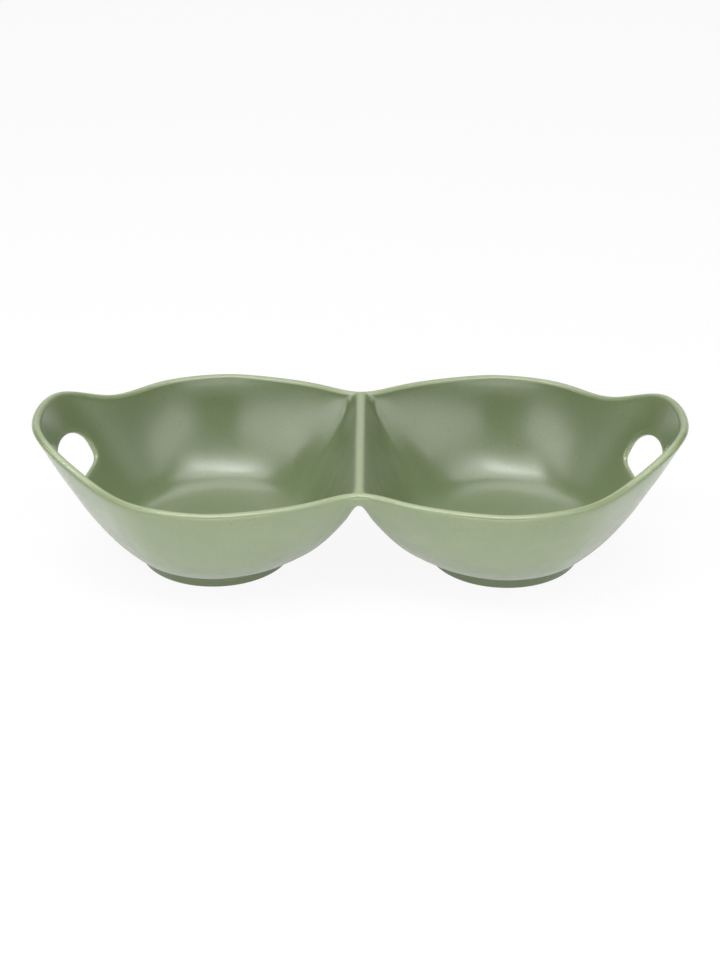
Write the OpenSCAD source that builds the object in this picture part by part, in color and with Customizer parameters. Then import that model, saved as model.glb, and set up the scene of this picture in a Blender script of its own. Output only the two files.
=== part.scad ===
// Olive dish of glazed stoneware: two leaf-shaped bowls joined by a bridge,
// a loop handle at each outer end and a foot ring under each bowl.
// Frame: origin on the table under the middle of the dish, +X towards the right handle,
// -Y towards the front, +Z up. All lengths are in millimetres.

/* [Dish] */
// Length over both handles
overall_len = 300; // [260:1:340]
// Depth across the widest part of a bowl
belly_w = 149; // [130:1:170]
// Depth at the waist between the bowls
waist_w = 109; // [90:1:122]
// Height of the rim along the bowls
rim_h = 58; // [50:1:66]
// Distance between the middles of the two bowls
bowl_pitch = 135; // [124:1:146]

/* [Wall] */
// Thickness of the wall, and width of the rounded rim
wall = 4; // [3.2:0.1:5]
// Thickness of a bowl's floor
floor_t = 4.5; // [3.5:0.1:6]

/* [Bridge] */
// Width of the bridge from joint to joint
bridge_w = 12; // [9:0.5:16]
// Width of the ridge that the bridge carries
ridge_w = 4.5; // [3:0.5:6]
// Thickness of the bridge under the ridge
ridge_t = 9; // [7:0.5:12]
// Thickness of the bridge at its joints, measured upright
joint_t = 11.5; // [9:0.5:13]
// How far the bridge falls from the ridge to its joints
bridge_fall = 9; // [7:0.5:11]
// Reach of the rounding beside the bridge inside a bowl, half way up its wall
inner_corner_reach = 25; // [5:1:26]
// Reach of the rounding beside the bridge outside a bowl, half way up its wall
outer_corner_reach = 6; // [2:0.5:12]

/* [Handles] */
// Height of the rim at the top of a handle
handle_h = 71; // [68:1:78]
// Width of a handle at its shoulders
handle_w = 76; // [68:1:84]
// Height of the grip bar from the finger hole to the top of the rim
bar_h = 19; // [14:0.5:21]
// Width of a finger hole
hole_w = 47; // [40:0.5:54]
// Height of a finger hole, measured up the wall
hole_h = 21.5; // [16:0.5:25]
// Rounding of the edge around a finger hole
hole_edge = 1.8; // [0.5:0.1:2.5]

/* [Feet] */
// Outer diameter of a foot ring
foot_d = 71; // [58:1:76]
// Height of a foot ring
foot_h = 7; // [4:0.5:9]
// Thickness of a foot ring
foot_wall = 5.5; // [4:0.5:9]
// Rounding of a foot ring's lower edges
foot_edge = 1.2; // [0.5:0.1:1.5]
// Ledge of flat underside that shows outside a foot ring
foot_ledge = 0.8; // [0.2:0.1:3]

/* [Hidden] */

// Glaze on the shell, and a darker tone of it on the foot rings
glaze = "#8a9f78";
foot_glaze = "#74895f";

// Numbers of facets along and across the shell
side_columns = 26;
hole_columns = 14;
joint_columns = 18;
bridge_columns = 12;
low_rows = 9;
high_rows = 4;
lip_steps = 6;
edge_steps = 4;

// Half sizes at the middle of the wall's thickness
half_len = (overall_len - wall) / 2;
half_belly = (belly_w - wall) / 2;
half_waist = (waist_w - wall) / 2;
half_handle = (handle_w - wall) / 2;
half_bridge = bridge_w / 2;
rim_z = rim_h - wall / 2;
handle_z = handle_h - wall / 2;
bowl_x = bowl_pitch / 2;
base_r = foot_d / 2 + foot_ledge;

// Plan of the rim from waist to handle tip, as control points of a smooth curve
rim_length_shares = [0, 0.125, 0.25, 0.375, 0.47, 0.68, 0.8, 0.965];
rim_belly_shares = [-0.22, 0.44, 0.78, 1, 1.07, 0.68];
rim_handle_shares = [1.19, 0.82];
rim_rise_shares = [-0.08, 1.12];

// Wall curve from the floor to the rim: reach of the floor, reach and height of the shoulder
end_wall_shares = [0.34, 0.86, 0.82];
side_wall_shares = [0.34, 0.83, 0.5];
divider_wall_shares = [0.32, 0.9, 0.84];
// Squareness of the ridge's top, where 2 is a round one
ridge_power = 4;
// Squareness of the bends where the bridge climbs to the rim
corner_power = 3;
// Squareness of the groove under the bridge, across it and along it
groove_power = 2.7;
// Rise over run where the bridge climbs to the rim, like the walls beside it
climb_share = 2.2;
// How much of a corner's reach its rounding moves the wall in
corner_share = 0.3;
// Squareness of a finger hole's outline, where 2 is an ellipse
hole_power = 3;

function lerp(a, b, t) = a + (b - a) * t;
function flip_x(p) = [-p.x, p.y, p.z];
function flip_y(p) = [p.x, -p.y, p.z];
function flat_unit(p) = [p.x, p.y, 0] / norm([p.x, p.y]);
// The value of an argument at which a rising function passes zero
function seek(rising, low, high, left = 40) =
    let (middle = (low + high) / 2)
    left == 0 ? middle
    : rising(middle) > 0 ? seek(rising, low, middle, left - 1)
    : seek(rising, middle, high, left - 1);

// A smooth curve that is drawn towards its control points, and the direction along it
function curve_weights(t) =
    [pow(1 - t, 3), 3 * pow(t, 3) - 6 * t * t + 4, 1 + 3 * t + 3 * t * t - 3 * pow(t, 3), pow(t, 3)] / 6;
function slope_weights(t) =
    [-(1 - t) * (1 - t), 3 * t * t - 4 * t, 1 + 2 * t - 3 * t * t, t * t] / 2;
function span_of(points, u) = min(floor(u), len(points) - 4);
function near_points(points, u) = [for (i = [0 : 3]) points[span_of(points, u) + i]];
function along(points, u) = curve_weights(u - span_of(points, u)) * near_points(points, u);
function slope(points, u) = slope_weights(u - span_of(points, u)) * near_points(points, u);

// The rim's control points, with one reflected point past the waist and one past the tip. The
// point at the tip lies as far out as brings the curve itself to the full length and height.
function last(list) = list[len(list) - 1];
function tip_from(neighbour) = (3 - neighbour) / 2;
belly_points = len(rim_belly_shares);
handle_points = len(rim_handle_shares);
belly_peak_share = max([for (u = [0 : 1 / 64 : belly_points - 3]) along(rim_belly_shares, u)]);
rim_controls = concat(
    [for (i = [0 : belly_points - 1]) [half_len * rim_length_shares[i],
        lerp(half_waist, half_belly, rim_belly_shares[i] / belly_peak_share), rim_z]],
    [for (i = [0 : handle_points - 1]) [half_len * rim_length_shares[belly_points + i],
        half_handle * rim_handle_shares[i], lerp(rim_z, handle_z, rim_rise_shares[i])]],
    [[half_len * tip_from(last(rim_length_shares)), 0,
      lerp(rim_z, handle_z, tip_from(last(rim_rise_shares)))]]);
rim_spans = len(rim_controls) - 1;
rim_points = concat([flip_x(rim_controls[1])], rim_controls, [flip_y(rim_controls[rim_spans - 1])]);

// The middle of the right bowl's rim: v is 0 at the handle's tip, positive along the back
function rim(v) =
    let (p = along(rim_points, rim_spans - abs(v)))
    v < 0 ? flip_y(p) : p;
function outward(v) =
    let (d = slope(rim_points, rim_spans - abs(v)), t = flat_unit(v < 0 ? flip_y(d) : -d))
    [t.y, -t.x, 0];
// A point round the lip: 0 is its outer side, 90 its top and 180 its inner side
function lip(v, angle) = rim(v) + wall / 2 * (cos(angle) * outward(v) + [0, 0, sin(angle)]);

// The wall between the flat base and a target on the rim; face is 1 outside and -1 inside
function heading(p) = flat_unit([p.x - bowl_x, p.y]);
function wall_shares(h) =
    end_wall_shares * pow(max(h.x, 0), 2) + side_wall_shares * h.y * h.y
    + divider_wall_shares * pow(min(h.x, 0), 2);
function sweep(first, second, s) =
    3 * first * s * pow(1 - s, 2) + 3 * second * s * s * (1 - s) + pow(s, 3);
// Where along the rim's curve the bridge ends, counted from the waist and from the handle
bridge_u = seek(function (u) along(rim_points, u).x - half_bridge, 0, belly_points / 2);
waist_v = rim_spans - bridge_u;
// How far a target is moved in near the bridge, where the corner grows rounder on the way down
function lip_side(v, face) = lip(v, face > 0 ? 0 : 180);
outer_corner = [0, lip_side(waist_v, 1).y];
inner_corner = [ridge_w / 2, lip_side(waist_v, -1).y];
function corner_inset(target, face, s) =
    let (away = norm([target.x, abs(target.y)] - (face > 0 ? outer_corner : inner_corner)),
         reach = 2 * (1 - s) * (face > 0 ? outer_corner_reach : inner_corner_reach))
    away < reach ? corner_share * pow(reach - away, 2) / reach : 0;
function wall_foot(h, face) =
    [bowl_x + base_r * h.x, base_r * h.y, face > 0 ? foot_h : foot_h + floor_t];
// A point at share s of the wall, which may stop short of its target
function rise_to(target, h, face, s, stop = 1) =
    let (w = wall_shares(h), out = sweep(w[0], w[1], s * stop), up = sweep(0, w[2], s * stop),
         foot = wall_foot(h, face), end = target - h * corner_inset(target, face, s))
    [lerp(foot.x, end.x, out), lerp(foot.y, end.y, out), lerp(foot.z, end.z, up)];
function wall_at(v, s, face) = rise_to(lip_side(v, face), heading(rim(v)), face, s);

// The finger hole, as an oval on the wall: its middle and half height along the wall's curve s,
// and its half width along the rim's v. The mouth is the oval where its rounded edge starts.
function wall_middle(v, s) = (wall_at(v, s, 1) + wall_at(v, s, -1)) / 2;
function below_rim(s) = norm(rim(0) - wall_middle(0, s));
bar_reach = bar_h - wall / 2;
hole_top_s = seek(function (s) bar_reach - below_rim(s), 0, 1);
hole_low_s = seek(function (s) bar_reach + hole_h - below_rim(s), 0, 1);
hole_s = (hole_top_s + hole_low_s) / 2;
hole_half_s = (hole_top_s - hole_low_s) / 2;
hole_half_v = seek(function (v) wall_middle(v, hole_s).y - hole_w / 2, 0, handle_points + 1);
mouth_half_s = hole_half_s * (1 + 2 * hole_edge / hole_h);
mouth_half_v = hole_half_v * (1 + 2 * hole_edge / hole_w);
// A point on the hole's edge: turn goes round the oval, depth from the outer to the inner face
function squared(x) = sign(x) * pow(abs(x), 2 / hole_power);
function oval_v(half, turn) = half * squared(cos(turn));
function oval_s(half, turn) = hole_s + half * squared(sin(turn));
function hole_point(turn, depth) =
    let (round = sqrt(1 - pow(2 * depth - 1, 2)),
         v = oval_v(lerp(mouth_half_v, hole_half_v, round), turn),
         s = oval_s(lerp(mouth_half_s, hole_half_s, round), turn))
    lerp(wall_at(v, s, 1), wall_at(v, s, -1), depth);
edge_points = 2 * high_rows + lip_steps - 1;
function hole_edge_row(turn) =
    [for (i = [1 : edge_points]) hole_point(turn, (1 - cos(180 * i / (edge_points + 1))) / 2)];

// The bridge: across runs from -1 at the left joint to 1 at the right joint, and place from 1 at
// the back rim to -1 at the front rim
function power_norm(a, b, power) = pow(pow(abs(a), power) + pow(b, power), 1 / power);
function fall(across, power) =
    let (half = ridge_w / 2)
    (power_norm(half_bridge * across, half, power) - half) / (power_norm(half_bridge, half, power) - half);
function waist_lip(across, angle) =
    let (p = lip(rim_spans - bridge_u * abs(across), angle))
    across < 0 ? flip_x(p) : p;
function lip_end(across) = 90 + 90 * fall(across, ridge_power);
function arch(place, depth, power) =
    let (run = climb_share * half_waist * (1 - abs(place)) / depth)
    run / power_norm(run, 1, power);
function bridge_line(across, place, end, depth, share) =
    [lerp(half_bridge * across, end.x, place * place), end.y * place, lerp(end.z, rim_h - depth, share)];
function bridge_low(across, place) =
    let (depth = lerp(ridge_t, bridge_fall + joint_t, fall(across, groove_power)))
    bridge_line(across, place, waist_lip(across, 0), depth, arch(place, depth, groove_power));
function bridge_top(across, place) =
    let (depth = bridge_fall * fall(across, ridge_power), share = arch(place, bridge_fall, corner_power))
    bridge_line(across, place, waist_lip(across, lip_end(across)), depth, share);
function station(i) = cos(180 * i / joint_columns);

// Rows of points up the wall at one place on the rim, from the outer base over the lip to the floor
low_shares = [for (i = [0 : low_rows]) i / low_rows];
high_shares = [for (i = [1 : high_rows]) i / high_rows];
face_shares = concat(hole_s * low_shares, [for (t = high_shares) lerp(hole_s, 1, t)]);
function reversed(list) = [for (i = [len(list) - 1 : -1 : 0]) list[i]];
function full_face(v, face) = [for (s = face_shares) wall_at(v, s, face)];
function lip_row(v) = [for (i = [1 : lip_steps - 1]) lip(v, 180 * i / lip_steps)];
function rim_column(v) = concat(full_face(v, 1), lip_row(v), reversed(full_face(v, -1)));
// The same under the hole, where the wall stops at the hole's lower edge
function hole_face(turn, face) =
    let (v = oval_v(mouth_half_v, turn), top = oval_s(mouth_half_s, -turn))
    [for (t = low_shares) wall_at(v, top * t, face)];
function hole_column(turn) = concat(hole_face(turn, 1), hole_edge_row(-turn), reversed(hole_face(turn, -1)));
// The same under the bridge, where the wall heads for the rim's height and stops at the joint
function joint_rows(outer, inner) =
    concat(outer, [for (i = [1 : lip_steps - 1]) last(inner)], reversed(inner));
function corner_column(v) = joint_rows(full_face(v, 1), full_face(v, -1));
function joint_face(end, h, face) =
    let (w = wall_shares(h), foot = wall_foot(h, face), lift = (end.z - foot.z) / (rim_z - foot.z),
         stop = seek(function (s) sweep(0, w[2], s) - lift, 0, 1),
         past = foot + (end - foot) / sweep(w[0], w[1], stop))
    [for (s = face_shares) rise_to([past.x, past.y, rim_z], h, face, s, stop)];
function joint_column(i) =
    let (low = bridge_low(1, station(i)), top = bridge_top(1, station(i)), h = heading((low + top) / 2))
    joint_rows(joint_face(low, h, 1), joint_face(top, h, -1));

// Triangles between neighbouring rows of points, round a middle point, and turned inside out
function sheet(rows) = [
    for (i = [0 : len(rows) - 2], j = [0 : len(rows[i]) - 2])
    let (a = rows[i][j], b = rows[i][j + 1], c = rows[i + 1][j + 1], d = rows[i + 1][j])
    each [[a, b, c], [a, c, d]]];
function fan(middle, ring) =
    [for (i = [0 : len(ring) - 2]) [middle, ring[i], ring[i + 1]]];
function inside_out(triangles) = [for (t = triangles) [t[0], t[2], t[1]]];
function closed(list) = concat(list, [list[0]]);
function has_area(t) = t[0] != t[1] && t[1] != t[2] && t[2] != t[0];
module solid(triangles) {
    kept = [for (t = triangles) if (has_area(t)) t];
    polyhedron([for (t = kept) each t], [for (i = [0 : len(kept) - 1]) [3 * i, 3 * i + 1, 3 * i + 2]]);
}

// Right-hand pieces

module bowl_shell() {
    back = [for (i = [0 : side_columns]) lerp(mouth_half_v, waist_v, i / side_columns)];
    columns = closed(concat(
        [for (i = [hole_columns / 2 : -1 : 0]) hole_column(180 * i / hole_columns)],
        [for (v = back) rim_column(v)],
        [corner_column(waist_v)],
        [for (i = [1 : joint_columns - 1]) joint_column(i)],
        [corner_column(-waist_v)],
        [for (v = reversed(back)) rim_column(-v)],
        [for (i = [hole_columns : -1 : hole_columns / 2 + 1]) hole_column(180 * i / hole_columns)]));
    under = [for (c = columns) c[0]];
    inside = [for (c = columns) last(c)];
    solid(concat(
        sheet(columns),
        fan([bowl_x, 0, foot_h], under),
        inside_out(fan([bowl_x, 0, foot_h + floor_t], inside))));
}

module handle_arch() {
    turns = [for (i = [0 : hole_columns]) 180 * i / hole_columns];
    function bar_face(turn, face) =
        let (v = oval_v(mouth_half_v, turn), low = oval_s(mouth_half_s, turn))
        [for (t = concat([0], high_shares)) wall_at(v, lerp(low, 1, t), face)];
    function bar_outline(turn) =
        concat(bar_face(turn, 1), lip_row(oval_v(mouth_half_v, turn)), reversed(bar_face(turn, -1)));
    outlines = [for (turn = turns) bar_outline(turn)];
    lower = [for (i = [0 : hole_columns])
        concat([outlines[i][0]], hole_edge_row(turns[i]), [last(outlines[i])])];
    solid(concat(
        inside_out(sheet(outlines)),
        sheet(lower),
        inside_out(sheet([lower[0], outlines[0]])),
        inside_out(sheet([last(outlines), last(lower)]))));
}

module saddle() {
    steps = [for (i = [0 : bridge_columns]) 2 * i / bridge_columns - 1];
    stations = [for (i = [0 : joint_columns]) station(i)];
    function lip_arc(across) =
        [for (i = [0 : lip_steps]) waist_lip(across, lip_end(across) * i / lip_steps)];
    function low_row(across) = [for (e = stations) bridge_low(across, e)];
    function top_row(across) = [for (e = stations) bridge_top(across, e)];
    lows = [for (a = steps) low_row(a)];
    tops = [for (a = steps) top_row(a)];
    back_lips = [for (i = [0 : bridge_columns]) concat([lows[i][0]],
        [for (j = [1 : lip_steps - 1]) lip_arc(steps[i])[j]], [tops[i][0]])];
    front_lips = [for (i = [0 : bridge_columns]) concat([lows[i][joint_columns]],
        [for (j = [1 : lip_steps - 1]) flip_y(lip_arc(steps[i])[j])], [tops[i][joint_columns]])];
    function joint_end(i) = concat(
        sheet([for (j = [0 : joint_columns]) [lows[i][j], tops[i][j]]]),
        fan(tops[i][0], back_lips[i]),
        inside_out(fan(tops[i][joint_columns], front_lips[i])));
    solid(concat(
        sheet(lows), inside_out(sheet(tops)), inside_out(sheet(back_lips)), sheet(front_lips),
        joint_end(0), inside_out(joint_end(bridge_columns))));
}

module ring() {
    outer = foot_d / 2;
    inner = outer - foot_wall;
    function corner(r, from) =
        [for (i = [0 : edge_steps])
            let (a = from + 90 * i / edge_steps)
            [r + foot_edge * cos(a), foot_edge + foot_edge * sin(a)]];
    translate([bowl_x, 0, 0])
        rotate_extrude($fn = 96)
            polygon(concat(
                [[inner, foot_h]],
                corner(inner + foot_edge, 180),
                corner(outer - foot_edge, 270),
                [[outer, foot_h]]));
}

// Named pieces of the dish

module right_bowl() {
    color(glaze) bowl_shell();
}

module left_bowl() {
    color(glaze) mirror([1, 0, 0]) bowl_shell();
}

module bridge() {
    color(glaze) saddle();
}

module right_handle() {
    color(glaze) handle_arch();
}

module left_handle() {
    color(glaze) mirror([1, 0, 0]) handle_arch();
}

module right_foot_ring() {
    color(foot_glaze) ring();
}

module left_foot_ring() {
    color(foot_glaze) mirror([1, 0, 0]) ring();
}

left_bowl();
right_bowl();
bridge();
left_handle();
right_handle();
left_foot_ring();
right_foot_ring();
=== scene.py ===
# %% [markdown]
# # An olive dish in satin sage glaze
# The dish is stoneware: two leaf-shaped bowls that share a ridge, a loop handle with a finger hole at
# each end, and a turned foot ring under each bowl. A potter throws two round bowls, presses them into
# leaves, lutes them together with a bridge of clay, opens the finger holes and turns the feet. The cells
# below work in that order, then glaze the ware and light it on a pale table.

# %% Load the frame
import math
from functools import lru_cache

import bmesh
import bpy
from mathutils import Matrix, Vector
from mathutils.kdtree import KDTree


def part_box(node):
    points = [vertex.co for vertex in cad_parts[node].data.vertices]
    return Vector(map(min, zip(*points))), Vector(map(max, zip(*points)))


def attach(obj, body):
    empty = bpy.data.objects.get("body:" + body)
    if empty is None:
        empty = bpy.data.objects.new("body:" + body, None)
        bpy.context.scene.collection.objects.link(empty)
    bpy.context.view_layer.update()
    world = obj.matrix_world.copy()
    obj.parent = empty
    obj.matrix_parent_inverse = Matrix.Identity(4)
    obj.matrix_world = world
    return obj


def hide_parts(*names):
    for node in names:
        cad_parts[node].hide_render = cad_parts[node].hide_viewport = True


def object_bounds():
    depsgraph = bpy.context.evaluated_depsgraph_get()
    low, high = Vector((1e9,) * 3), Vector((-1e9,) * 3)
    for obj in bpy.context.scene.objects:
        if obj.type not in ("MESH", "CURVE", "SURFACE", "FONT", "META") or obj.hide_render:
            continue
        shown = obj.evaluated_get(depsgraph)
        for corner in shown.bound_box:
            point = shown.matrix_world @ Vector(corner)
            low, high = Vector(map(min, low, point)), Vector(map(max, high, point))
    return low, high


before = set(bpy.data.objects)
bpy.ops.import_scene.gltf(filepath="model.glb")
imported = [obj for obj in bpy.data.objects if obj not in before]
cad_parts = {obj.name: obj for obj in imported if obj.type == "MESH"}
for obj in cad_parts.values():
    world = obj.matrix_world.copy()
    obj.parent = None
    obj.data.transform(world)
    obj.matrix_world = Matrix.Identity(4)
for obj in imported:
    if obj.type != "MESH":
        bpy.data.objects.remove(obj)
cad_low, cad_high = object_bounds()


def in_mm(lengths):
    return [round(1000 * length, 1) for length in lengths]


print("frame of", len(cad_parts), "solids, box in mm:", in_mm(cad_high - cad_low))

# %% [markdown]
# ## Sizes
# Lengths are in metres. What the frame can tell is read from it, so that each piece goes where its solid
# is: the length and depth over all, the rim's height, and the place and size of the feet. The rest are
# sizes of the ware itself, such as its wall.

# %% Sizes of the dish
foot_low, foot_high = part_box("right_foot_ring")
overall_len = cad_high.x - cad_low.x
belly_w = cad_high.y - cad_low.y
rim_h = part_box("bridge")[1].z
bowl_x = (foot_low.x + foot_high.x) / 2
foot_d = foot_high.x - foot_low.x
foot_h = foot_high.z

waist_w = 0.109
wall = 0.004
floor_t = 0.0045
bridge_w = 0.012
ridge_w = 0.0045
ridge_t = 0.009
joint_t = 0.0115
bridge_fall = 0.009
inner_corner_reach = 0.025
outer_corner_reach = 0.006
handle_h = 0.071
handle_w = 0.076
bar_h = 0.019
hole_w = 0.047
hole_h = 0.0215
hole_edge = 0.0018
foot_wall = 0.0055
foot_edge = 0.0012
foot_ledge = 0.0008
print("bowls apart and feet across, in mm:", in_mm((2 * bowl_x, foot_d)))

# %% [markdown]
# ## The rim
# The rim of one bowl is a closed leaf that climbs at the handle. Drawn by hand it would be one sweep of a
# flexible ruler, and a cubic B-spline is that ruler in numbers: it is drawn towards a few control points
# and stays smooth. The points are shares of the dish's own sizes, from the waist to the handle's tip, and
# the curve is mirrored at both ends, so it runs on without a kink.

# %% The rim's curve
RIM_LENGTH_SHARES = (0, 0.125, 0.25, 0.375, 0.47, 0.68, 0.8, 0.965)
RIM_BELLY_SHARES = (-0.22, 0.44, 0.78, 1, 1.07, 0.68)
RIM_HANDLE_SHARES = (1.19, 0.82)
RIM_RISE_SHARES = (-0.08, 1.12)
PEAK_STEPS = 64

half_len = (overall_len - wall) / 2
half_belly = (belly_w - wall) / 2
half_waist = (waist_w - wall) / 2
half_handle = (handle_w - wall) / 2
rim_z = rim_h - wall / 2
handle_z = handle_h - wall / 2


def lerp(a, b, t):
    return a + (b - a) * t


def spline(points, u):
    """A point on the smooth curve that is drawn towards its control points."""
    first = min(int(u), len(points) - 4)
    t = u - first
    pulls = ((1 - t) ** 3, 3 * t**3 - 6 * t**2 + 4, 1 + 3 * t + 3 * t**2 - 3 * t**3, t**3)
    near = points[first : first + 4]
    return sum((p * (pull / 6) for p, pull in zip(near[1:], pulls[1:])), near[0] * (pulls[0] / 6))


def tip_from(neighbour):
    """The last control share, which brings the curve itself to a share of 1 at the tip."""
    return (3 - neighbour) / 2


peak_places = range(PEAK_STEPS * (len(RIM_BELLY_SHARES) - 3) + 1)
belly_peak = max(spline(RIM_BELLY_SHARES, i / PEAK_STEPS) for i in peak_places)
controls = []
for length, belly in zip(RIM_LENGTH_SHARES, RIM_BELLY_SHARES):
    controls.append(Vector((half_len * length, lerp(half_waist, half_belly, belly / belly_peak), rim_z)))
for length, reach, rise in zip(RIM_LENGTH_SHARES[-2:], RIM_HANDLE_SHARES, RIM_RISE_SHARES):
    controls.append(Vector((half_len * length, half_handle * reach, lerp(rim_z, handle_z, rise))))
tip_rise = tip_from(RIM_RISE_SHARES[-1])
controls.append(Vector((half_len * tip_from(RIM_LENGTH_SHARES[-1]), 0, lerp(rim_z, handle_z, tip_rise))))
rim_spans = len(controls) - 1
past_waist = controls[1] * Vector((-1, 1, 1))
past_tip = controls[-2] * Vector((1, -1, 1))
rim_points = [past_waist, *controls, past_tip]


@lru_cache(None)
def rim(v):
    """Middle of the right bowl's rim. v is 0 at the handle's tip and rises along the back to the waist."""
    p = spline(rim_points, rim_spans - abs(v))
    return Vector((p.x, math.copysign(p.y, v), p.z))


@lru_cache(None)
def outward(v):
    """The level direction out of the bowl, square to the rim."""
    small = 0.001
    ahead = spline(rim_points, rim_spans - abs(v) - small)
    behind = spline(rim_points, rim_spans - abs(v) + small)
    along = (ahead - behind).xy.normalized()
    return Vector((along.y, -along.x if v >= 0 else along.x, 0))


def lip(v, angle):
    """A point round the rim's half-round edge: 0 is its outer side, 90 its top and 180 its inner side."""
    turn = math.radians(angle)
    return rim(v) + wall / 2 * (math.cos(turn) * outward(v) + Vector((0, 0, math.sin(turn))))


print("rim in mm, from", in_mm(rim(0)), "to", in_mm(rim(rim_spans)))

# %% [markdown]
# ## The wall
# From the flat base a wall swells out and then steepens to the rim. A lathe makes one such curve all the
# way round. This bowl isn't round, so each heading has its own: the ends towards the handles lean out
# far, the long sides are fuller, and the divider is steep. Each is a Bezier curve with two shares for its
# reach and one for its height, and the shares blend from one heading to the next.

# %% The wall's curve
END_WALL_SHARES = Vector((0.34, 0.86, 0.82))
SIDE_WALL_SHARES = Vector((0.34, 0.83, 0.5))
DIVIDER_WALL_SHARES = Vector((0.32, 0.9, 0.84))
CORNER_SHARE = 0.3
OUTSIDE, INSIDE = 1, -1
SEARCH_STEPS = 40

base_r = foot_d / 2 + foot_ledge
base_z = {OUTSIDE: foot_h, INSIDE: foot_h + floor_t}
lip_side = {OUTSIDE: 0, INSIDE: 180}
corner_reach = {OUTSIDE: outer_corner_reach, INSIDE: inner_corner_reach}
half_bridge = bridge_w / 2


def seek(rising, low, high):
    """Where a rising function passes zero, found by halving."""
    for _ in range(SEARCH_STEPS):
        middle = (low + high) / 2
        if rising(middle) > 0:
            high = middle
        else:
            low = middle
    return (low + high) / 2


bridge_u = seek(lambda u: spline(rim_points, u).x - half_bridge, 0, len(RIM_BELLY_SHARES) / 2)
waist_v = rim_spans - bridge_u
corner_spot = {
    OUTSIDE: Vector((0, lip(waist_v, lip_side[OUTSIDE]).y)),
    INSIDE: Vector((ridge_w / 2, lip(waist_v, lip_side[INSIDE]).y)),
}


def corner_inset(target, face, s):
    """How far a target is moved in near the bridge, where the corner grows rounder on the way down."""
    away = (Vector((target.x, abs(target.y))) - corner_spot[face]).length
    reach = 2 * (1 - s) * corner_reach[face]
    return CORNER_SHARE * (reach - away) ** 2 / reach if away < reach else 0


def heading(p):
    """The level direction from the bowl's middle to a point."""
    return Vector((p.x - bowl_x, p.y, 0)).normalized()


def bezier(first, second, s):
    """A Bezier curve's share at s, between 0 and 1, with its two inner shares."""
    return 3 * first * s * (1 - s) ** 2 + 3 * second * s**2 * (1 - s) + s**3


def wall_shares(h):
    """The shares for a heading, blended from those of the sides, the end and the divider."""
    lengthwise = END_WALL_SHARES * max(h.x, 0) ** 2 + DIVIDER_WALL_SHARES * min(h.x, 0) ** 2
    return SIDE_WALL_SHARES * h.y**2 + lengthwise


def wall_foot(h, face):
    """Where the wall leaves the base."""
    return Vector((bowl_x + base_r * h.x, base_r * h.y, base_z[face]))


def rise_to(target, h, face, s, stop=1):
    """A point at share s of a wall that rises from the base to a target on the rim and may stop short."""
    shares = wall_shares(h)
    out = bezier(shares[0], shares[1], s * stop)
    up = bezier(0, shares[2], s * stop)
    foot = wall_foot(h, face)
    end = target - h * corner_inset(target, face, s)
    return Vector((lerp(foot.x, end.x, out), lerp(foot.y, end.y, out), lerp(foot.z, end.z, up)))


def wall_at(v, s, face):
    """A point at share s of the wall below a place on the rim."""
    return rise_to(lip(v, lip_side[face]), heading(rim(v)), face, s)


print("wall at the handle, in mm:", in_mm(wall_at(0, 0.5, OUTSIDE)))

# %% [markdown]
# ## The finger hole
# Each handle is the rim itself, left as a bar when a hole is cut below it. The hole is a squared oval on
# the wall's own surface, so it is measured along the rim and up the wall instead of in space. Its edge is
# rounded like the rim, which keeps it kind to the fingers.

# %% The finger hole's outline
HOLE_POWER = 3


def wall_middle(v, s):
    """A point midway between the wall's two faces."""
    return (wall_at(v, s, OUTSIDE) + wall_at(v, s, INSIDE)) / 2


def below_rim(s):
    """How far below the rim a share of the wall is, at the handle's tip."""
    return (rim(0) - wall_middle(0, s)).length


bar_reach = bar_h - wall / 2
hole_top_s = seek(lambda s: bar_reach - below_rim(s), 0, 1)
hole_low_s = seek(lambda s: bar_reach + hole_h - below_rim(s), 0, 1)
hole_s = (hole_top_s + hole_low_s) / 2
hole_half_s = (hole_top_s - hole_low_s) / 2
hole_half_v = seek(lambda v: wall_middle(v, hole_s).y - hole_w / 2, 0, len(RIM_HANDLE_SHARES) + 1)
mouth_half_s = hole_half_s * (1 + 2 * hole_edge / hole_h)
mouth_half_v = hole_half_v * (1 + 2 * hole_edge / hole_w)


def squared(x):
    """A cosine or sine, bent so that the oval's corners fill out."""
    return math.copysign(abs(x) ** (2 / HOLE_POWER), x)


def oval_v(half, turn):
    """A place along the rim on an oval of some half width."""
    return half * squared(math.cos(math.radians(turn)))


def oval_s(half, turn):
    """A share of the wall on an oval of some half height."""
    return hole_s + half * squared(math.sin(math.radians(turn)))


def hole_point(turn, depth):
    """A point on the hole's rounded edge: turn goes round the oval, depth from outside to inside."""
    inset = math.sqrt(1 - (2 * depth - 1) ** 2)
    v = oval_v(lerp(mouth_half_v, hole_half_v, inset), turn)
    s = oval_s(lerp(mouth_half_s, hole_half_s, inset), turn)
    return lerp(wall_at(v, s, OUTSIDE), wall_at(v, s, INSIDE), depth)


print("hole's back end and top, in mm:", in_mm(hole_point(0, 0.5)), in_mm(hole_point(90, 0.5)))

# %% [markdown]
# ## The bridge
# Between the bowls a saddle of clay carries the ridge. Across it falls away from the ridge on both sides,
# like a roof with a rounded top. From front to back it runs level and climbs to the two rims as steeply
# as the bowls' walls do there.

# %% The bridge's surfaces
RIDGE_POWER = 4
CORNER_POWER = 3
GROOVE_POWER = 2.7
RIM_STEEPNESS = 2.2


def power_norm(a, b, power):
    """The longer of two lengths with a rounded change from one to the other, sharper at a higher power."""
    return (abs(a) ** power + b**power) ** (1 / power)


def fall(across, power):
    """How far the saddle has fallen at a place across it, from 0 at the ridge to 1 at a joint."""
    half = ridge_w / 2
    full = power_norm(half_bridge, half, power) - half
    return (power_norm(half_bridge * across, half, power) - half) / full


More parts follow.
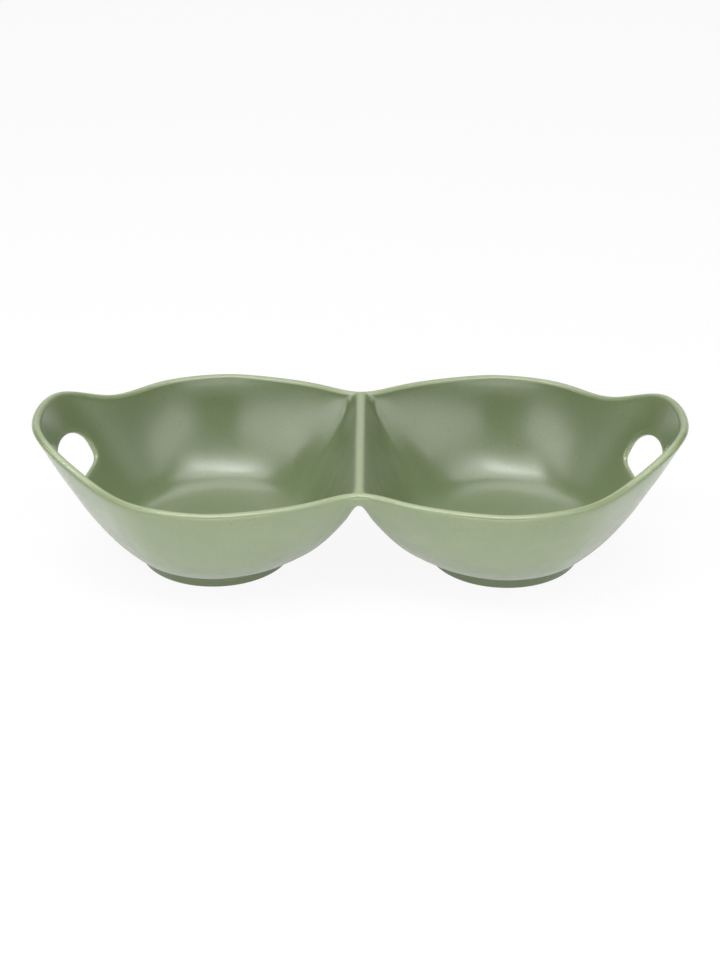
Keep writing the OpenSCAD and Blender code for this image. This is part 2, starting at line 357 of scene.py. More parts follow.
def waist_lip(across, angle):
    """A point round the lip at a place across the saddle."""
    p = lip(rim_spans - bridge_u * abs(across), angle)
    return Vector((math.copysign(p.x, across), p.y, p.z))


def lip_end(across):
    """The lip runs to its top at the ridge and to its inner side at a joint."""
    return 90 + 90 * fall(across, RIDGE_POWER)


def arch(place, depth, power):
    """How far the saddle has fallen at a place along it, from 0 at the rim to 1 where it is level."""
    run = RIM_STEEPNESS * half_waist * (1 - abs(place)) / depth
    return run / power_norm(run, 1, power)


def saddle_line(across, place, end, depth, share):
    """A point along the saddle, which leaves the rim at its end and falls to a share of a depth."""
    x = lerp(half_bridge * across, end.x, place**2)
    return Vector((x, end.y * place, lerp(end.z, rim_h - depth, share)))


def bridge_under(across, place):
    """The saddle's underside, from left to right across it and from front to back, each from -1 to 1."""
    depth = lerp(ridge_t, bridge_fall + joint_t, fall(across, GROOVE_POWER))
    return saddle_line(across, place, waist_lip(across, 0), depth, arch(place, depth, GROOVE_POWER))


def bridge_over(across, place):
    """The saddle's top, over the same places."""
    depth = bridge_fall * fall(across, RIDGE_POWER)
    share = arch(place, bridge_fall, CORNER_POWER)
    return saddle_line(across, place, waist_lip(across, lip_end(across)), depth, share)


print("ridge and groove in mm:", in_mm(bridge_over(0, 0)), in_mm(bridge_under(0, 0)))

# %% [markdown]
# ## Throwing a bowl
# On the wheel a bowl is a profile that turns. The spin operator does the same: it carries a line of
# vertices round the bowl's axis and leaves faces behind. Each vertex remembers its row in the profile,
# and its angle tells its column, so the next cell can press the round bowl into a leaf.

# %% Throw a round bowl
LOW_ROWS, HIGH_ROWS, LIP_STEPS, BASE_RINGS = 24, 10, 14, 16
SIDE_COLUMNS, HOLE_COLUMNS, JOINT_COLUMNS, BRIDGE_COLUMNS = 72, 44, 52, 32
WELD = 1e-6

edge_rows = 2 * HIGH_ROWS + LIP_STEPS - 1
top_row = LOW_ROWS + HIGH_ROWS
wall_rows = 2 * (LOW_ROWS + 1) + edge_rows
half_hole = HOLE_COLUMNS // 2
bowl_columns = (
    [("hole", 180 * i / HOLE_COLUMNS) for i in range(half_hole, -1, -1)]
    + [("rim", lerp(mouth_half_v, waist_v, i / SIDE_COLUMNS)) for i in range(SIDE_COLUMNS + 1)]
    + [("joint", i) for i in range(1, JOINT_COLUMNS)]
    + [("rim", -lerp(mouth_half_v, waist_v, i / SIDE_COLUMNS)) for i in range(SIDE_COLUMNS, -1, -1)]
    + [("hole", 180 * i / HOLE_COLUMNS) for i in range(HOLE_COLUMNS, half_hole, -1)]
)


def wall_share(row):
    """Which face a row of the profile is on, and how far up the wall it is."""
    face = OUTSIDE if row <= top_row else INSIDE
    step = row if face == OUTSIDE else wall_rows - 1 - row
    if step <= LOW_ROWS:
        return face, hole_s * step / LOW_ROWS
    return face, min(1, lerp(hole_s, 1, (step - LOW_ROWS) / HIGH_ROWS))


def thrown_profile():
    """Places on the round bowl's profile, from under its middle over the lip to the floor's middle."""
    for ring in range(BASE_RINGS):
        yield base_r * ring / BASE_RINGS, base_z[OUTSIDE]
    for row in range(wall_rows):
        face, s = wall_share(row)
        out = bezier(SIDE_WALL_SHARES[0], SIDE_WALL_SHARES[1], s)
        radius = lerp(base_r, half_belly + face * wall / 2, out)
        yield radius, lerp(base_z[face], rim_z, bezier(0, SIDE_WALL_SHARES[2], s))
    for ring in range(BASE_RINGS - 1, -1, -1):
        yield base_r * ring / BASE_RINGS, base_z[INSIDE]


def thrown_bowl():
    bm = bmesh.new()
    row_of = bm.verts.layers.int.new("row")
    column_of = bm.verts.layers.int.new("column")
    verts = []
    for row, (radius, z) in enumerate(thrown_profile()):
        vert = bm.verts.new((bowl_x + radius, 0, z))
        vert[row_of] = row - BASE_RINGS
        verts.append(vert)
    line = [bm.edges.new(pair) for pair in zip(verts, verts[1:])]
    middle = Vector((bowl_x, 0, 0))
    bmesh.ops.spin(
        bm, geom=verts + line, cent=middle, axis=(0, 0, 1), angle=2 * math.pi,
        steps=len(bowl_columns), use_merge=True,
    )
    for vert in bm.verts:
        turn = math.atan2(vert.co.y, vert.co.x - bowl_x) / (2 * math.pi)
        vert[column_of] = round(turn * len(bowl_columns)) % len(bowl_columns)
    return bm


round_bowl = thrown_bowl()
print("round bowl with", len(round_bowl.verts), "vertices and", len(round_bowl.faces), "faces")

# %% [markdown]
# ## From the round bowl to the leaf
# Pressing moves each place on the round bowl to a place on the leaf. Columns under the hole stop at the
# hole's lower edge, columns at the divider stop at the bridge, and all the others run over the lip.

# %% Find the places on the leaf


def station(i):
    """Places along the bridge, closer together at the rims where it bends most."""
    return math.cos(math.pi * i / JOINT_COLUMNS)


@lru_cache(None)
def joint_target(place, face):
    """Where the wall under the bridge would meet the rim's height, its heading, and where it stops."""
    under, over = bridge_under(1, place), bridge_over(1, place)
    h = heading((under + over) / 2)
    end = under if face == OUTSIDE else over
    shares = wall_shares(h)
    foot = wall_foot(h, face)
    lift = (end.z - foot.z) / (rim_z - foot.z)
    stop = seek(lambda s: bezier(0, shares[2], s) - lift, 0, 1)
    target = foot + (end - foot) / bezier(shares[0], shares[1], stop)
    return Vector((target.x, target.y, rim_z)), h, stop


def joint_at(place, s, face):
    """A point at share s of the wall below a place along the bridge."""
    target, h, stop = joint_target(place, face)
    return rise_to(target, h, face, s, stop)


def edge_depth(step):
    """How deep in the wall a step round the hole's edge is, 0 outside and 1 inside."""
    return (1 - math.cos(math.pi * step / (edge_rows + 1))) / 2


def pressed(row, column):
    """Where a row of the profile lies on the leaf at one of its columns."""
    kind, value = bowl_columns[column]
    face, s = wall_share(row)
    past_low = row - LOW_ROWS
    if kind == "hole":
        if 0 < past_low <= edge_rows:
            return hole_point(-value, edge_depth(past_low))
        top = oval_s(mouth_half_s, -value)
        return wall_at(oval_v(mouth_half_v, value), s / hole_s * top, face)
    if kind == "joint":
        return joint_at(station(value), s, face)
    if 0 < row - top_row < LIP_STEPS:
        return lip(value, 180 * (row - top_row) / LIP_STEPS)
    return wall_at(value, s, face)


print("divider leaves the floor at", in_mm(joint_at(station(JOINT_COLUMNS // 2), 0, INSIDE)))

# %% [markdown]
# ## A sponged inside
# Before the ware dries, the potter wipes the inside with a damp sponge. No line is left where the floor
# runs into the wall, and the two folds beside the divider grow rounder. Here the floor begins to rise
# sooner and gently, by the distance from its edge. The folds are wiped with the smooth_vert operator, in a
# band that starts narrow at the rim, widens on its way down and ends above the floor.

# %% Sponge the floor and the folds
FLOOR_SOFTNESS = 0.012
FIRST_SHARE = 0.02
SPONGE_ROWS, SPONGE_COLUMNS = 11, 14


def eased(out):
    """A distance out from the floor's edge that begins sooner and gently. Negative is in from the edge."""
    if abs(out) >= FLOOR_SOFTNESS:
        return max(out, 0)
    return (out + FLOOR_SOFTNESS) ** 2 / (4 * FLOOR_SOFTNESS)


@lru_cache(None)
def floor_bend(column):
    """How fast the inner wall leaves the floor: its first height over the square of its first reach."""
    kind, value = bowl_columns[column]
    if kind == "joint":
        near = joint_at(station(value), FIRST_SHARE, INSIDE)
    else:
        near = wall_at(oval_v(mouth_half_v, value) if kind == "hole" else value, FIRST_SHARE, INSIDE)
    out = near - pressed(wall_rows - 1, column)
    return out.z / out.xy.length_squared


def floor_place(ring, column):
    """Where a ring of the floor lies, with a gentle start to the wall's bend near its edge."""
    middle = Vector((bowl_x, 0, base_z[INSIDE]))
    place = middle.lerp(pressed(wall_rows - 1, column), ring)
    place.z += floor_bend(column) * eased((ring - 1) * base_r) ** 2
    return place


def wall_place(row, column):
    """Where a row of the wall lies, with the same gentle start on its inner face."""
    place = pressed(row, column)
    edge = pressed(wall_rows - 1, column)
    out = (place - edge).xy.length
    if row > top_row + LIP_STEPS + HIGH_ROWS and 0 < out < FLOOR_SOFTNESS:
        place.z = lerp(edge.z, place.z, (eased(out) / out) ** 2)
    return place


def sponge_folds(bm, row_of, column_of):
    """Wipe the two folds beside the divider rounder on their way down from the rim."""
    back_fold = half_hole + 1 + SIDE_COLUMNS
    folds = (back_fold, back_fold + JOINT_COLUMNS)

    def off_fold(vert):
        return min(abs(vert[column_of] - fold) for fold in folds)

    def band(vert):
        return min(vert[row_of] - top_row - LIP_STEPS, wall_rows - SPONGE_ROWS - vert[row_of])

    inside = [v for v in bm.verts if band(v) > 0]
    for reach in range(1, SPONGE_COLUMNS):
        near = [v for v in inside if off_fold(v) <= min(reach, band(v))]
        for _ in range(SPONGE_COLUMNS - reach):
            bmesh.ops.smooth_vert(
                bm, verts=near, factor=0.5, use_axis_x=True, use_axis_y=True, use_axis_z=True,
            )


edge_lift = max(floor_place(1, column).z for column in range(len(bowl_columns))) - base_z[INSIDE]
print("floor's edge lifted by up to", round(1000 * edge_lift, 2), "mm")

# %% [markdown]
# ## Pressing the bowl
# Now each vertex takes its place on the leaf. The faces that would close the wall at the handle and at the
# bridge are opened, because a bar of clay goes on there.

# %% Press the bowl


def press(bm):
    row_of = bm.verts.layers.int["row"]
    column_of = bm.verts.layers.int["column"]
    middle_rows = (-BASE_RINGS, wall_rows + BASE_RINGS - 1)
    open_faces = []
    for face in bm.faces:
        rows = [v[row_of] for v in face.verts]
        kinds = {bowl_columns[v[column_of]][0] for v in face.verts if v[row_of] not in middle_rows}
        at_bridge = "joint" in kinds and min(rows) >= top_row and max(rows) <= top_row + LIP_STEPS
        if at_bridge or kinds == {"hole", "rim"}:
            open_faces.append(face)
    for vert in bm.verts:
        row = vert[row_of]
        column = vert[column_of]
        if row < 0:
            middle = Vector((bowl_x, 0, base_z[OUTSIDE]))
            vert.co = middle.lerp(pressed(0, column), (row + BASE_RINGS) / BASE_RINGS)
        elif row >= wall_rows - 1:
            vert.co = floor_place((wall_rows + BASE_RINGS - 1 - row) / BASE_RINGS, column)
        else:
            vert.co = wall_place(row, column)
    bmesh.ops.delete(bm, geom=open_faces, context="FACES")
    bmesh.ops.remove_doubles(bm, verts=bm.verts, dist=WELD)
    sponge_folds(bm, row_of, column_of)
    return bm


leaf_bowl = press(round_bowl)
print("leaf bowl with", len(leaf_bowl.verts), "vertices and", len(leaf_bowl.faces), "faces")

# %% [markdown]
# ## Handle and bridge
# Both are bars of clay. A cone with equal ends is a plain tube, subdividing its long edges gives it
# rings, and then each vertex takes its place: round the bar's outline and along its length. The rings at
# the ends have the same points as the bowl's openings, so the pieces meet without a gap.

# %% Draw out the bars


def tube(around, along, place):
    """An open tube whose vertices are set by place(k, j): k counts round it and j along it."""
    bm = bmesh.new()
    bmesh.ops.create_cone(bm, cap_ends=False, segments=around, radius1=1, radius2=1, depth=1)
    long_edges = [e for e in bm.edges if abs(e.verts[0].co.z - e.verts[1].co.z) > 0.5]
    bmesh.ops.subdivide_edges(bm, edges=long_edges, cuts=along - 1, use_grid_fill=True)
    for vert in bm.verts:
        turn = math.atan2(vert.co.y, vert.co.x) / (2 * math.pi)
        vert.co = place(round(turn * around) % around, round((vert.co.z + 0.5) * along))
    bmesh.ops.recalc_face_normals(bm, faces=bm.faces)
    return bm


def handle_place(k, j):
    """The grip bar: up its outer face, over the rim, down its inner face and back round the hole's edge."""
    turn = 180 * j / HOLE_COLUMNS
    v = oval_v(mouth_half_v, turn)
    low = oval_s(mouth_half_s, turn)
    rim_step = k - HIGH_ROWS
    if k <= HIGH_ROWS:
        return wall_at(v, lerp(low, 1, k / HIGH_ROWS), OUTSIDE)
    if rim_step < LIP_STEPS:
        return lip(v, 180 * rim_step / LIP_STEPS)
    if k <= edge_rows + 1:
        return wall_at(v, lerp(low, 1, (edge_rows + 1 - k) / HIGH_ROWS), INSIDE)
    return hole_point(turn, edge_depth(2 * (edge_rows + 1) - k))


def bridge_place(k, j):
    """The saddle: over the back rim, along the ridge, down the front rim and back along the groove."""
    across = 2 * j / BRIDGE_COLUMNS - 1
    end = lip_end(across)
    front_step = k - LIP_STEPS - JOINT_COLUMNS
    if k < LIP_STEPS:
        return waist_lip(across, end * k / LIP_STEPS)
    if front_step <= 0:
        return bridge_over(across, station(k - LIP_STEPS))
    if front_step < LIP_STEPS:
        return waist_lip(across, end * (LIP_STEPS - front_step) / LIP_STEPS) * Vector((1, -1, 1))
    return bridge_under(across, station(JOINT_COLUMNS - (front_step - LIP_STEPS)))


grip_bar = tube(2 * (edge_rows + 1), HOLE_COLUMNS, handle_place)
saddle = tube(2 * (LIP_STEPS + JOINT_COLUMNS), BRIDGE_COLUMNS, bridge_place)
print("grip bar with", len(grip_bar.faces), "faces, saddle with", len(saddle.faces))

# %% [markdown]
# ## Luting the ware together
# A potter wipes each joint until it can't be seen. Here the bowl, its bar and their mirror copies are
# joined with the saddle in one mesh, and vertices in the same place are merged. The normals of this one
# skin run smoothly over the joints. Each piece is then cut out of it again as a closed shape of its own,
# keeps the skin's normals, and so shows no seam.

# %% Lute the pieces into one skin
PIECES = ("right_bowl", "right_handle", "left_bowl", "left_handle", "bridge")


def append(skin, bm, number):
    """Adds a piece's faces to the skin under its number."""
    mesh = bpy.data.meshes.new("part")
    bm.to_mesh(mesh)
    known = set(skin.faces)
    skin.from_mesh(mesh)
    number_of = skin.faces.layers.int["piece"]
    for face in skin.faces:
        if face not in known:
            face[number_of] = number
    bpy.data.meshes.remove(mesh)


skin = bmesh.new()
skin.faces.layers.int.new("piece")
for turned in (False, True):
    for bm, name in ((leaf_bowl, "bowl"), (grip_bar, "handle")):
        if turned:
            bmesh.ops.scale(bm, vec=(-1, 1, 1), verts=bm.verts)
        side = "left" if turned else "right"
        append(skin, bm, PIECES.index(f"{side}_{name}"))
append(skin, saddle, PIECES.index("bridge"))
for bm in (leaf_bowl, grip_bar, saddle):
    bm.free()
bmesh.ops.remove_doubles(skin, verts=skin.verts, dist=WELD)
bmesh.ops.recalc_face_normals(skin, faces=skin.faces)
open_edges = [e for e in skin.edges if not e.is_manifold]
print("skin with", len(skin.faces), "faces and", len(open_edges), "open edges")

# %% [markdown]
# ## Where the glaze breaks, with a painted highlight and painted shade
# Glaze runs while it melts. It draws away from edges, where the pale body shows through; the pale edge
# colour also stands in part for a painted highlight along the edge lines. Lower down inside the bowls the
# glaze is painted a little darker as painted shade. Each vertex gets two numbers for this: how near it is
# to an edge line (the rim, the ridge or a finger hole's edge), and how far down inside a bowl it is. The
# glaze material reads both later.

# %% Measure edges and painted shade
EDGE_REACH = 0.0018
LINE_STEPS = 400
# How fast the painted shade inside a bowl grows with depth
INNER_SHADE_GAIN = 1.5


def edge_lines():
    """Points along the rim, over the waist, along the ridge and round the finger hole, right-hand side."""
    for i in range(LINE_STEPS + 1):
        share = i / LINE_STEPS
        yield lip(lerp(0, rim_spans, share), 90)
        yield lip(lerp(0, -rim_spans, share), 90)
        yield bridge_over(0, 2 * share - 1)
        yield hole_point(360 * share, 0.5)


marks = list(edge_lines())
line_tree = KDTree(2 * len(marks))
for i, mark in enumerate(marks):
    line_tree.insert(mark, 2 * i)
    line_tree.insert(mark * Vector((-1, 1, 1)), 2 * i + 1)
line_tree.balance()

edge_of = skin.verts.layers.float.new("edge")
inner_shade_of = skin.verts.layers.float.new("painted_inner_shade")
normal_of = skin.verts.layers.float_vector.new("skin_normal")
skin.normal_update()
for vert in skin.verts:
    vert[normal_of] = vert.normal
    # Nearness to an edge line, for the pale edge colour: glaze breaking there, and partly a painted
    # highlight
    vert[edge_of] = math.exp(-((line_tree.find(vert.co)[2] / EDGE_REACH) ** 2))
    # Painted shade: a share that grows lower down inside a bowl, on faces that look up to its mouth
    to_mouth = Vector((math.copysign(bowl_x, vert.co.x), 0, rim_h)) - vert.co
    facing = max(0, vert.normal.dot(to_mouth.normalized()))
    vert[inner_shade_of] = facing * min(1, max(0, 1 - vert.co.z / rim_h) * INNER_SHADE_GAIN)
for name, layer in (("edges", edge_of), ("painted inner shade", inner_shade_of)):
    print(name, "on", sum(v[layer] > 0.5 for v in skin.verts), "vertices")

# %% [markdown]
# ## Cutting the pieces out of the skin
# Each piece keeps its own faces, and the holes that the cut leaves are filled with flat faces of bare clay,
# since no glaze ever gets into a luted joint. Custom normals take the skin's own directions on the glazed
# faces and the face's direction on the bare ones.

# %% Cut out the pieces
# Bare clay is each piece's second material, after the glaze
BARE = 1
made = {}


def finish_piece(bm, name):
    """Puts a bmesh into the scene as a smooth object."""
    mesh = bpy.data.meshes.new(name)
    bm.to_mesh(mesh)
    mesh.shade_smooth()
    piece = bpy.data.objects.new(name, mesh)
    bpy.context.scene.collection.objects.link(piece)
    made[name] = piece
    return piece


def cut_out(name):
    bm = skin.copy()
    number_of = bm.faces.layers.int["piece"]
    others = [f for f in bm.faces if f[number_of] != PIECES.index(name)]
    bmesh.ops.delete(bm, geom=others, context="FACES")
    border = [e for e in bm.edges if e.is_boundary]
    joints = bmesh.ops.holes_fill(bm, edges=border, sides=0)["faces"]
    for face in joints:
        face.material_index = BARE
    bmesh.ops.triangulate(bm, faces=joints)
    bm.normal_update()
    normal_of = bm.verts.layers.float_vector["skin_normal"]
    skin_normals = [v[normal_of].copy() for v in bm.verts]
    bm.verts.layers.float_vector.remove(normal_of)
    piece = finish_piece(bm, name + "_ware")
    bm.free()
    corner_normals = []
    for polygon in piece.data.polygons:
        for vertex in polygon.vertices:
            bare = polygon.material_index == BARE
            corner_normals.append(polygon.normal.copy() if bare else skin_normals[vertex])
    piece.data.normals_split_custom_set(corner_normals)
    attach(piece, "root")
    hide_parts(name)
    return piece


for name in PIECES:
    piece = cut_out(name)
    bare_faces = sum(p.material_index == BARE for p in piece.data.polygons)
    print(piece.name, "with", len(piece.data.polygons), "faces,", bare_faces, "of bare clay")
skin.free()

# %% [markdown]
# ## Foot rings
# A foot ring is turned on the wheel: a low wall with its lower edges rounded over. Its outline is a box
# that is bevelled at the two lower corners and then spun. Glaze is wiped off the standing face, so that the
# dish doesn't stick to the kiln shelf.

# %% Turn the foot rings
FOOT_STEPS = 128
EDGE_STEPS = 6
CREASE_ANGLE = math.radians(45)


def foot_ring(name, middle_x):
    bm = bmesh.new()
    outer = foot_d / 2
    inner = outer - foot_wall
    corners = [(inner, foot_h), (inner, 0), (outer, 0), (outer, foot_h)]
    verts = [bm.verts.new((middle_x + r, 0, z)) for r, z in corners]
    for pair in zip(verts, verts[1:]):
        bm.edges.new(pair)
    low_corners = [v for v in bm.verts if v.co.z == 0]
    bmesh.ops.bevel(
        bm, geom=low_corners, offset=foot_edge, segments=EDGE_STEPS, profile=0.5, affect="VERTICES",
        material=-1,
    )
    bmesh.ops.spin(
        bm, geom=bm.verts[:] + bm.edges[:], cent=(middle_x, 0, 0), axis=(0, 0, 1), angle=2 * math.pi,
        steps=FOOT_STEPS, use_merge=True,
    )
    top_edges = [e for e in bm.edges if e.is_boundary]
    bmesh.ops.bridge_loops(bm, edges=top_edges)
    bmesh.ops.remove_doubles(bm, verts=bm.verts, dist=WELD)
    bmesh.ops.recalc_face_normals(bm, faces=bm.faces)
    for face in bm.faces:
        level = {round(v.co.z / WELD) for v in face.verts}
        if len(level) == 1:
            face.material_index = BARE
            for edge in face.edges:
                if edge.calc_face_angle(0) > CREASE_ANGLE:
                    edge.smooth = False
    piece = finish_piece(bm, name + "_turned")
    bm.free()
    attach(piece, "root")
    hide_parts(name)
    return piece


for name, middle_x in (("left_foot_ring", -bowl_x), ("right_foot_ring", bowl_x)):
    piece = foot_ring(name, middle_x)
    print(piece.name, "with", len(piece.data.polygons), "faces")

# %% [markdown]
# ## Materials from nodes
# A material is a graph of nodes, and written out node by node it is long. A few helpers make what comes up
# again: noise, a range spread to another, one colour laid over another, and a number read from the
# vertices. The noise is in Object coordinates, in which one unit is a metre, so a speck has its real size
# and the pattern runs on from piece to piece.

# %% Make the node helpers


def node(tree, kind, x, y, **inputs):
    """A new node with some of its sockets set."""
    made_node = tree.nodes.new(kind)
    made_node.location = (x, y)
    for socket, value in inputs.items():
        made_node.inputs[socket.replace("_", " ")].default_value = value
    return made_node


def noise(tree, x, y, scale, detail, roughness=0.5):
    """Noise on Object coordinates, in which one unit is a metre."""
    place = node(tree, "ShaderNodeTexCoord", x - 200, y)
    made_noise = node(tree, "ShaderNodeTexNoise", x, y, Scale=scale, Detail=detail, Roughness=roughness)
    tree.links.new(place.outputs["Object"], made_noise.inputs["Vector"])
    return made_noise.outputs["Fac"]


def spread(tree, x, y, value, low, high, to_low=0, to_high=1):
    """A value from one range spread to another, and held at its ends."""
    made_range = node(tree, "ShaderNodeMapRange", x, y)
    for socket, number in zip(("From Min", "From Max", "To Min", "To Max"), (low, high, to_low, to_high)):
        made_range.inputs[socket].default_value = number
    tree.links.new(value, made_range.inputs["Value"])
    return made_range.outputs["Result"]


def tint(tree, x, y, share, under, over):
    """One colour laid over another by a share."""
    mix = node(tree, "ShaderNodeMix", x, y)
    mix.data_type = "RGBA"
    tree.links.new(share, mix.inputs["Factor"])
    for socket, colour in (("A", under), ("B", over)):
        target = next(s for s in mix.inputs if s.name == socket and s.type == "RGBA")
        if isinstance(colour, tuple):
            target.default_value = (*colour, 1)
        else:
            tree.links.new(colour, target)
    return next(s for s in mix.outputs if s.type == "RGBA")


def new_material(name):
    """A material, its node tree and its shader."""
    material = bpy.data.materials.new(name)
    material.use_nodes = True
    tree = material.node_tree
    return material, tree, tree.nodes["Principled BSDF"]


def attribute(tree, x, y, name):
    """A number that was measured on each vertex."""
    read = node(tree, "ShaderNodeAttribute", x, y)
    read.attribute_name = name
    return read.outputs["Fac"]


glaze, glaze_tree, glaze_shader = new_material("satin_sage_glaze")
print("a new material has", [n.name for n in glaze_tree.nodes])

# %% [markdown]
# ## Glaze
# The glaze is a satin sage green. Close to, it isn't one colour: it is mottled where it lay thicker or
# thinner, pale and a little yellow at the edges (partly a painted highlight), painted a little darker low
# in the bowls as painted shade, and full of fine specks. A potter gets the mottle, the pale edges and the
# specks from one bucket of glaze, so one material makes them too, together with the painted highlight and
# shade, from noise and the two numbers measured above.

# %% Mix the glaze
SAGE = (0.138, 0.185, 0.083)
SAGE_THICK = (0.126, 0.172, 0.074)
# Painted shade: the darker sage laid on low inside the bowls
SAGE_PAINTED_SHADE = (0.133, 0.18, 0.079)
# Pale edge colour: glaze breaking at the edges, and partly a painted highlight along the edge lines
SAGE_BROKEN_AND_HIGHLIT = (0.25, 0.305, 0.15)
PALE_SPECK = (0.24, 0.30, 0.165)
IRON_SPECK = (0.07, 0.085, 0.04)
GLAZE_GLOSS = {"IOR": 1.65, "Coat Weight": 1.0, "Coat Roughness": 0.25, "Coat IOR": 1.5}


def mix_glaze(tree, shader):
    thickness = noise(tree, -1200, 500, scale=38, detail=4, roughness=0.6)
    mottle = spread(tree, -1000, 500, thickness, low=0.35, high=0.65)
    colour = tint(tree, -800, 400, mottle, SAGE, SAGE_THICK)
    # Painted shade, darker low inside the bowls
    colour = tint(tree, -600, 400, attribute(tree, -800, 200, "painted_inner_shade"), colour, SAGE_PAINTED_SHADE)
    # Pale edges where the glaze breaks, and partly a painted highlight along the rim, ridge and hole edges
    colour = tint(tree, -400, 400, attribute(tree, -600, 200, "edge"), colour, SAGE_BROKEN_AND_HIGHLIT)
    pale = noise(tree, -600, 0, scale=1400, detail=2)
    pale_specks = spread(tree, -400, 100, pale, low=0.62, high=0.72, to_high=0.35)
    colour = tint(tree, -200, 400, pale_specks, colour, PALE_SPECK)
    iron = noise(tree, -600, -250, scale=900, detail=1)
    iron_specks = spread(tree, -400, -150, iron, low=0.70, high=0.76, to_high=0.5)
    colour = tint(tree, 0, 400, iron_specks, colour, IRON_SPECK)
    tree.links.new(colour, shader.inputs["Base Color"])
    polish = noise(tree, -400, -450, scale=120, detail=3)
    satin = spread(tree, -200, -300, polish, low=0.3, high=0.7, to_low=0.34, to_high=0.42)
    tree.links.new(satin, shader.inputs["Roughness"])
    for socket, value in GLAZE_GLOSS.items():
        shader.inputs[socket].default_value = value
    dimples = node(tree, "ShaderNodeBump", 0, -500, Strength=0.12, Distance=0.0004)
    tree.links.new(noise(tree, -200, -600, scale=500, detail=3), dimples.inputs["Height"])
    tree.links.new(dimples.outputs["Normal"], shader.inputs["Normal"])


mix_glaze(glaze_tree, glaze_shader)
print("glaze with", len(glaze_tree.nodes), "nodes")

# %% [markdown]
# ## Bare clay
# The wiped standing faces and the hidden joints show the stoneware itself: a warm cream, dry and matt, with
# fine sand in it.

# %% Mix the clay
CLAY = (0.60, 0.52, 0.41)
CLAY_SAND = (0.42, 0.34, 0.25)


def bare_clay():
    material, tree, shader = new_material("bare_stoneware")
    grains = noise(tree, -800, 200, scale=1500, detail=2)
    sand = spread(tree, -600, 200, grains, low=0.55, high=0.7, to_high=0.6)
    tree.links.new(tint(tree, -300, 200, sand, CLAY, CLAY_SAND), shader.inputs["Base Color"])
    dryness = noise(tree, -800, -100, scale=400, detail=2)
    dry = spread(tree, -600, -100, dryness, low=0.3, high=0.7, to_low=0.75, to_high=0.9)
    tree.links.new(dry, shader.inputs["Roughness"])
    tooth = node(tree, "ShaderNodeBump", -300, -300, Strength=0.3, Distance=0.0002)
    tree.links.new(noise(tree, -600, -400, scale=2500, detail=2), tooth.inputs["Height"])
    tree.links.new(tooth.outputs["Normal"], shader.inputs["Normal"])
    return material


clay = bare_clay()
for piece in made.values():
    piece.data.materials.append(glaze)
    piece.data.materials.append(clay)
print("glaze and clay on", len(made), "pieces")

# %% [markdown]
# ## Table and backdrop
# The dish stands on a white sweep: a table that curves up behind into a backdrop, so there is no horizon.
# To the camera most of it is plain white, and in the glaze's reflections a smaller share is. The rest takes
# the light itself, so the dish keeps a soft shadow.

# %% Lay the white sweep
SWEEP_HALF = 2.0
SWEEP_BEND = 0.8
BEND_STEPS = 24
PAPER = (0.88, 0.88, 0.88, 1)
PAPER_ROUGHNESS = 0.9
WHITE = (1, 1, 1, 1)
WHITE_SHARE = 0.92
MIRRORED_SHARE = 0.65


def white_paper():
    material, tree, shader = new_material("white_paper")
    shader.inputs["Base Color"].default_value = PAPER
    shader.inputs["Roughness"].default_value = PAPER_ROUGHNESS
    path = node(tree, "ShaderNodeLightPath", -700, 300)
    mirrored = spread(tree, -700, 0, path.outputs["Is Glossy Ray"], low=0, high=1, to_high=MIRRORED_SHARE)
    seen = node(tree, "ShaderNodeMath", -500, 300)
    tree.links.new(path.outputs["Is Camera Ray"], seen.inputs[0])
    tree.links.new(mirrored, seen.inputs[1])
    seen_all = node(tree, "ShaderNodeMath", -300, 300)
    tree.links.new(seen.outputs[0], seen_all.inputs[0])
    tree.links.new(path.outputs["Is Transmission Ray"], seen_all.inputs[1])
    share = spread(tree, -100, 300, seen_all.outputs[0], low=0, high=1, to_high=WHITE_SHARE)
    white = node(tree, "ShaderNodeEmission", -100, 100, Strength=1.0)
    white.inputs["Color"].default_value = WHITE
    mix = node(tree, "ShaderNodeMixShader", 300, 200)
    tree.links.new(share, mix.inputs[0])
    tree.links.new(shader.outputs[0], mix.inputs[1])
    tree.links.new(white.outputs[0], mix.inputs[2])
    tree.links.new(mix.outputs[0], tree.nodes["Material Output"].inputs["Surface"])
    return material


def white_sweep():
    bm = bmesh.new()
    bmesh.ops.create_grid(bm, x_segments=1, y_segments=1, size=SWEEP_HALF)
    back = [e for e in bm.edges if all(v.co.y > 0 for v in e.verts)]
    extruded = bmesh.ops.extrude_edge_only(bm, edges=back)["geom"]
    risen = [part for part in extruded if isinstance(part, bmesh.types.BMVert)]
    bmesh.ops.translate(bm, verts=risen, vec=(0, 0, SWEEP_HALF))
    fold = [e for e in bm.edges if all(v.co.y > 0 and v.co.z == 0 for v in e.verts)]
    bmesh.ops.bevel(
        bm, geom=fold, offset=SWEEP_BEND, segments=BEND_STEPS, profile=0.5, affect="EDGES", material=-1,
    )
    bmesh.ops.recalc_face_normals(bm, faces=bm.faces)
    mesh = bpy.data.meshes.new("white_sweep")
    bm.to_mesh(mesh)
    bm.free()
    mesh.shade_smooth()
    mesh.materials.append(white_paper())
    sweep_object = bpy.data.objects.new("white_sweep", mesh)
    bpy.context.scene.collection.objects.link(sweep_object)
    return sweep_object


print("sweep with", len(white_sweep().data.polygons), "faces")

# %% [markdown]
# ## Light
# Soft boxes stand all round, as for a catalogue picture of tableware. A broad one hangs overhead with a
# bright strip below it, and a weaker one hangs behind. One on each side leaves a dark gap in front for the
# camera, and a low one in front lights the outside and the feet. Two panels on the table glow upwards like
# the light that a white table gives back, and the room adds a weak even light.

# %% Set the lights
DISH_MIDDLE = Vector((0, 0, 0.035))
GLOW_Y, GLOW_Z = 0.36, 0.0005


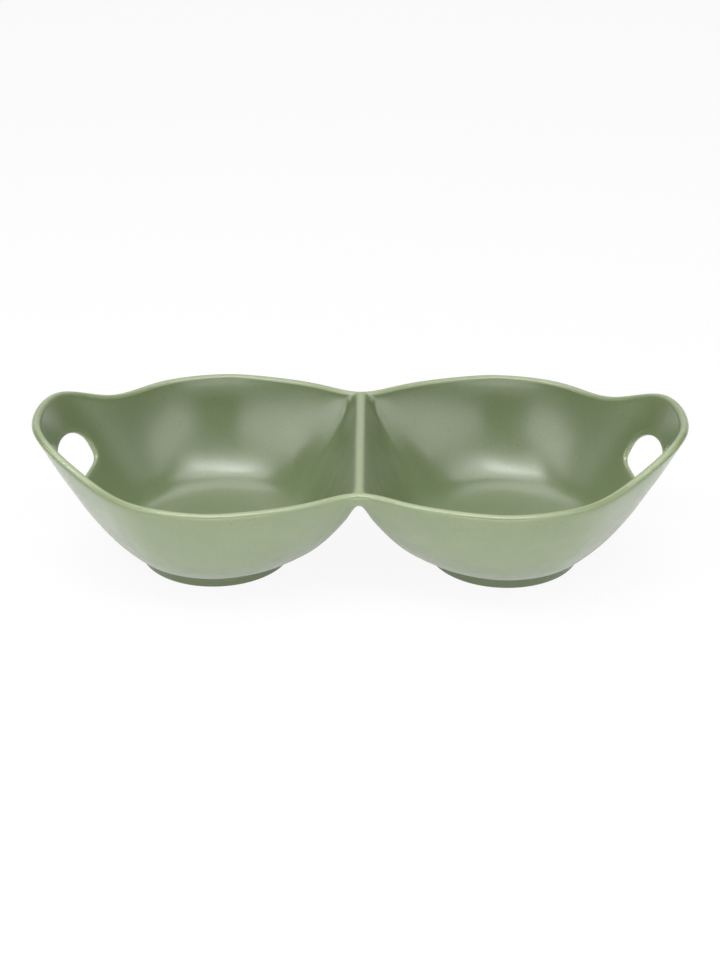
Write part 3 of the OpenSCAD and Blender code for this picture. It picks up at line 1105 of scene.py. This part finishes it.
def soft_box(name, place, width, height, power, aim=DISH_MIDDLE):
    light = bpy.data.lights.new(name, "AREA")
    light.shape = "RECTANGLE"
    light.size = width
    light.size_y = height
    light.energy = power
    lamp = bpy.data.objects.new(name, light)
    lamp.location = place
    lamp.rotation_euler = (Vector(place) - Vector(aim)).to_track_quat("Z", "Y").to_euler()
    lamp.visible_camera = False
    bpy.context.scene.collection.objects.link(lamp)
    return lamp


def room_light(strength):
    world = bpy.data.worlds.new("room")
    bpy.context.scene.world = world
    world.use_nodes = True
    background = world.node_tree.nodes["Background"]
    background.inputs["Color"].default_value = WHITE
    background.inputs["Strength"].default_value = strength


soft_box("back_box", (-0.1, 0.42, 1.0), width=0.9, height=0.6, power=3.4)
soft_box("overhead_box", (0, -0.33, 1.1), width=1.6, height=0.7, power=8.5, aim=(0, -0.33, 0))
soft_box("strip_box", (-0.08, -0.4, 1.01), width=1.1, height=0.1, power=4.2)
soft_box("left_box", (-0.81, -0.5, 0.58), width=1.2, height=0.4, power=3.8)
soft_box("right_box", (0.81, -0.5, 0.56), width=1.2, height=0.4, power=3.2)
soft_box("front_box", (0, -1.1, 0.09), width=1.2, height=0.12, power=4.0)
for name, y in (("front_glow", -GLOW_Y), ("back_glow", GLOW_Y)):
    glow = soft_box(name, (0, y, GLOW_Z), width=1.4, height=0.56, power=2.2, aim=(0, y, 1))
    glow.visible_glossy = False
room_light(strength=0.05)

# %% [markdown]
# ## Camera
# The picture looks down on the dish from the front, from about a metre away, through a longish lens. The
# camera stands a touch to the right of the middle.

# %% Set the camera
CAMERA_DISTANCE = 1.0
CAMERA_RISE = math.radians(27.5)
CAMERA_TURN = math.radians(0.5)
CAMERA_AIM = Vector((0, 0, 0.0375))
LENS = 80.6
SENSOR_WIDTH = 36


def place_camera():
    data = bpy.data.cameras.new("camera")
    data.lens = LENS
    data.sensor_width = SENSOR_WIDTH
    camera = bpy.data.objects.new("camera", data)
    level = math.cos(CAMERA_RISE)
    towards = Vector((math.sin(CAMERA_TURN) * level, -math.cos(CAMERA_TURN) * level, math.sin(CAMERA_RISE)))
    camera.location = DISH_MIDDLE + CAMERA_DISTANCE * towards
    camera.rotation_euler = (CAMERA_AIM - camera.location).to_track_quat("-Z", "Y").to_euler()
    bpy.context.scene.collection.objects.link(camera)
    bpy.context.scene.camera = camera
    return camera


bpy.context.scene.view_settings.view_transform = "Standard"
print("camera at", [round(c, 3) for c in place_camera().location])
